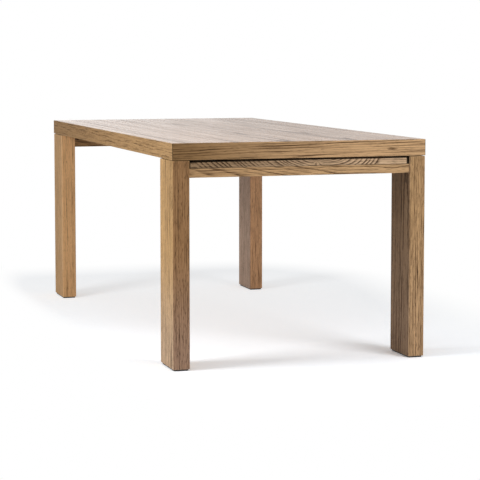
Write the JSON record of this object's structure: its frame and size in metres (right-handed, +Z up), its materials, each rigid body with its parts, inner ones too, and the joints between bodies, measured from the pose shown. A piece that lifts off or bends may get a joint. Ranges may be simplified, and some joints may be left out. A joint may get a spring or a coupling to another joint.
{
  "type": "dining table",
  "caption": "Long rectangular dining table with a thick mitred top on flush slab legs, and a pull-out leaf support over the rail at each end.",
  "frame": {"origin": "on the floor, under the middle of the table", "axes": "+X along the table to its near end, +Y to its right-hand long side, +Z up"},
  "size_m": [1.935, 0.908, 0.762],
  "materials": {
    "oak_top": "honey-brown oak, grain along the table, satin lacquer",
    "oak_edge": "honey-brown oak with strong grain along each edge board, satin lacquer",
    "oak_leg": "honey-brown oak with upright grain, satin lacquer",
    "oak_rail": "honey-brown oak with bold flat-sawn grain, satin lacquer",
    "frame_wood": "plain oak, sanded, clear matt oil",
    "beech_dowel": "plain beech, glued in",
    "plate_steel": "black powder coat",
    "zinc_screw": "zinc plated",
    "track_aluminium": "mill finish",
    "nylon": "black nylon, matt",
    "pad_plastic": "black plastic, matt",
    "bumper_rubber": "black rubber, matt"
  },
  "bodies": {
    "table": {"batten_screws": "zinc_screw", "closed_stop_far": "frame_wood", "closed_stop_near": "frame_wood", "cross_batten_far_inner": "frame_wood", "cross_batten_far_middle": "frame_wood", "cross_batten_far_outer": "frame_wood", "cross_batten_near_inner": "frame_wood", "cross_batten_near_middle": "frame_wood", "cross_batten_near_outer": "frame_wood", "end_cleat_far": "frame_wood", "end_cleat_near": "frame_wood", "end_edge_board_far": "oak_edge", "end_edge_board_near": "oak_edge", "end_rail_far": "oak_rail", "end_rail_near": "oak_rail", "foot_pads": "pad_plastic", "glide_strip_far_left": "nylon", "glide_strip_far_right": "nylon", "glide_strip_near_left": "nylon", "glide_strip_near_right": "nylon", "leg_far_left": "oak_leg", "leg_far_right": "oak_leg", "leg_near_left": "oak_leg", "leg_near_right": "oak_leg", "leg_plate_far_left": "plate_steel", "leg_plate_far_right": "plate_steel", "leg_plate_near_left": "plate_steel", "leg_plate_near_right": "plate_steel", "leg_screws": "zinc_screw", "long_edge_board_left": "oak_edge", "long_edge_board_right": "oak_edge", "open_stop_far": "frame_wood", "open_stop_near": "frame_wood", "plate_screws": "zinc_screw", "runner_track_far_left": "track_aluminium", "runner_track_far_right": "track_aluminium", "runner_track_near_left": "track_aluminium", "runner_track_near_right": "track_aluminium", "stop_bumpers": "bumper_rubber", "stop_screws": "zinc_screw", "top_board_1": "oak_top", "top_board_2": "oak_top", "top_board_3": "oak_top", "top_board_4": "oak_top", "top_board_5": "oak_top", "top_board_6": "oak_top", "track_screws": "zinc_screw"},
    "near_support": {"support_bar_near": "oak_rail", "support_dowels_near": "beech_dowel", "support_runner_near_left": "frame_wood", "support_runner_near_right": "frame_wood", "support_tie_near": "frame_wood"},
    "far_support": {"support_bar_far": "oak_rail", "support_dowels_far": "beech_dowel", "support_runner_far_left": "frame_wood", "support_runner_far_right": "frame_wood", "support_tie_far": "frame_wood"}
  },
  "joints": [
    {"name": "near_support_slide", "type": "slide", "parent": "table", "child": "near_support", "axis": [1, 0, 0], "range_m": [0, 0.406]},
    {"name": "far_support_slide", "type": "slide", "parent": "table", "child": "far_support", "axis": [-1, 0, 0], "range_m": [0, 0.406]}
  ]
}
